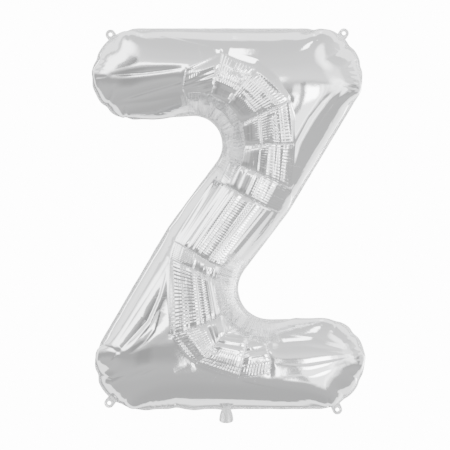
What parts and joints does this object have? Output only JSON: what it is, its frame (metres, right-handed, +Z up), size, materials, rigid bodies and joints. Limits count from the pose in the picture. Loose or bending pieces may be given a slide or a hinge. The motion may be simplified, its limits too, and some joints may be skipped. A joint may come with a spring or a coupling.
{
  "type": "letter foil balloon",
  "caption": "Inflated silver foil balloon shaped as the letter Z, with a welded edge, punched hanging tabs at its corners and a flat filling neck below.",
  "frame": {"origin": "middle of the letter, in the plane of its welded edge, where the air or the gas's lift holds it", "axes": "+Z up the letter, +X to the right as it is read, and the letter's front faces -Y"},
  "size_m": [0.543, 0.1984, 0.788],
  "materials": {
    "foil": "mirror-bright metallised film, wrinkled where it turns the corners",
    "weld": "metallised film, heat-welded flat, slightly duller",
    "valve_film": "clear-white thin film"
  },
  "bodies": {
    "root": {"front_sheet": "foil", "back_sheet": "foil", "weld_margin": "weld", "tab_top_left": "weld", "tab_top_right": "weld", "tab_bottom_right": "weld", "tab_bottom_left": "weld", "neck_front_film": "weld", "neck_back_film": "weld", "valve_film": "valve_film"}
  },
  "joints": []
}
